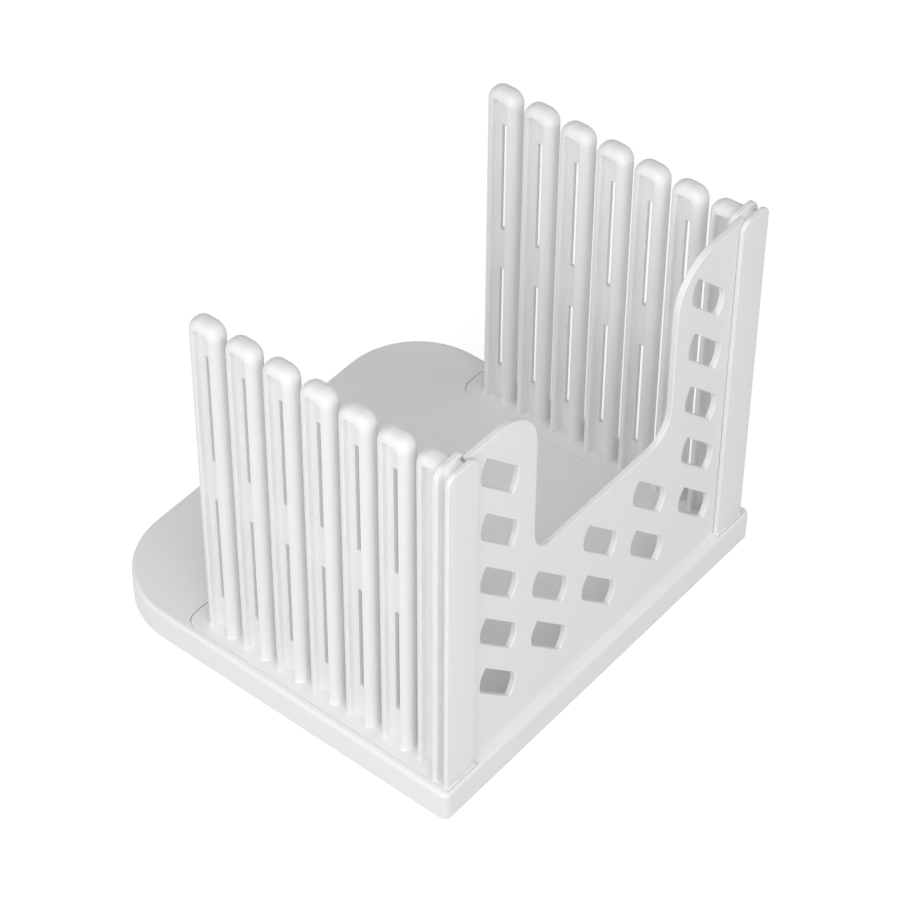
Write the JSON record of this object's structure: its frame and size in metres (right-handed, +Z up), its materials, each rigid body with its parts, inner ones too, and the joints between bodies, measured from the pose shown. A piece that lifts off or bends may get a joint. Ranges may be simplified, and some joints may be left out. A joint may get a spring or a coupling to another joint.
{
  "type": "bread slicer guide",
  "caption": "Plastic bread slicing guide: a flat base with a round far end, two upright slotted combs that steer the knife, and a removable end board with a U-shaped cut-out.",
  "frame": {"origin": "middle of the base's lower face, on the table", "axes": "+X across the loaf from the left comb to the right comb, +Y along the loaf from the end board to the rounded far end, +Z up"},
  "size_m": [0.16, 0.15, 0.147],
  "materials": {
    "base_plastic": "satin gloss, white",
    "comb_plastic": "satin gloss, white",
    "board_plastic": "satin gloss, white"
  },
  "bodies": {
    "base": {"base": "base_plastic"},
    "left_comb": {"left_comb": "comb_plastic"},
    "right_comb": {"right_comb": "comb_plastic"},
    "end_board": {"end_board": "board_plastic"}
  },
  "joints": [
    {"name": "left_comb_lift", "type": "slide", "parent": "base", "child": "left_comb", "axis": [0, 0, 1], "range_m": [0, 0.012]},
    {"name": "right_comb_lift", "type": "slide", "parent": "base", "child": "right_comb", "axis": [0, 0, 1], "range_m": [0, 0.012]},
    {"name": "end_board_lift", "type": "slide", "parent": "left_comb", "child": "end_board", "axis": [0, 0, 1], "range_m": [0, 0.14]}
  ],
  "couplings": [
    {"joint": "right_comb_lift", "follows": "left_comb_lift", "ratio": 1}
  ]
}
